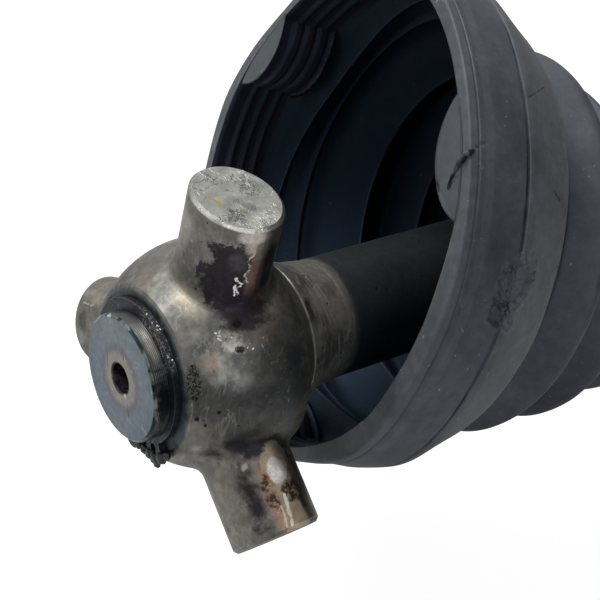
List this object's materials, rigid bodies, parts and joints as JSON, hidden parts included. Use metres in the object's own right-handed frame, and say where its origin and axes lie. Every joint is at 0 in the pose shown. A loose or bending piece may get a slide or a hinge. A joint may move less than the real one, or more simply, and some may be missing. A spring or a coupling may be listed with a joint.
{
  "type": "cv joint",
  "caption": "Tripod constant-velocity joint, shaft side: splined bar, three-armed spider with bare oval trunnions, circlip and a tapered rubber bellows boot.",
  "frame": {"origin": "centre of the joint, where the three trunnion axes cross the bar's axis", "axes": "+X along the bar towards its free end inside the joint, +Z along the first trunnion, +Y completes the right-handed frame"},
  "size_m": [0.2503, 0.107, 0.1076],
  "materials": {
    "bar_steel": "turned steel, oiled and lightly pitted",
    "spider_steel": "forged and ground steel with heat stains",
    "clip_steel": "blackened spring steel",
    "clamp_steel": "stainless band",
    "boot_rubber": "satin moulded rubber with dust",
    "pad_rubber": "satin moulded rubber"
  },
  "bodies": {
    "shaft": {"drive_shaft": "bar_steel", "tripod_spider": "spider_steel", "spider_circlip": "clip_steel", "outer_snap_ring": "clip_steel", "boot_clamp": "clamp_steel", "boot_neck": "boot_rubber"},
    "boot_rear": {"bellows_rear": "boot_rubber"},
    "boot_middle": {"bellows_middle": "boot_rubber"},
    "boot_mouth": {"bellows_front": "boot_rubber", "boot_collar": "boot_rubber", "trilobe_pads": "pad_rubber"}
  },
  "joints": [
    {"name": "boot_plunge", "type": "slide", "parent": "shaft", "child": "boot_rear", "axis": [1, 0, 0], "range_m": [-0.022, 0], "stiffness_N_per_m": 2000, "deforming": ["bellows_rear"]},
    {"name": "boot_swing", "type": "hinge", "parent": "boot_rear", "child": "boot_middle", "pos_m": [-0.092, 0, 0], "axis": [0, -0.6388, -0.7694], "range_deg": [-42.3, 0], "stiffness_Nm_per_rad": 5, "deforming": ["bellows_middle"]},
    {"name": "boot_cross_swing", "type": "hinge", "parent": "boot_middle", "child": "boot_mouth", "pos_m": [-0.07423, -0.00529, 0.00439], "axis": [-0.3608, -0.7176, 0.5957], "range_deg": [-10, 10], "stiffness_Nm_per_rad": 5, "deforming": ["bellows_front"]}
  ]
}
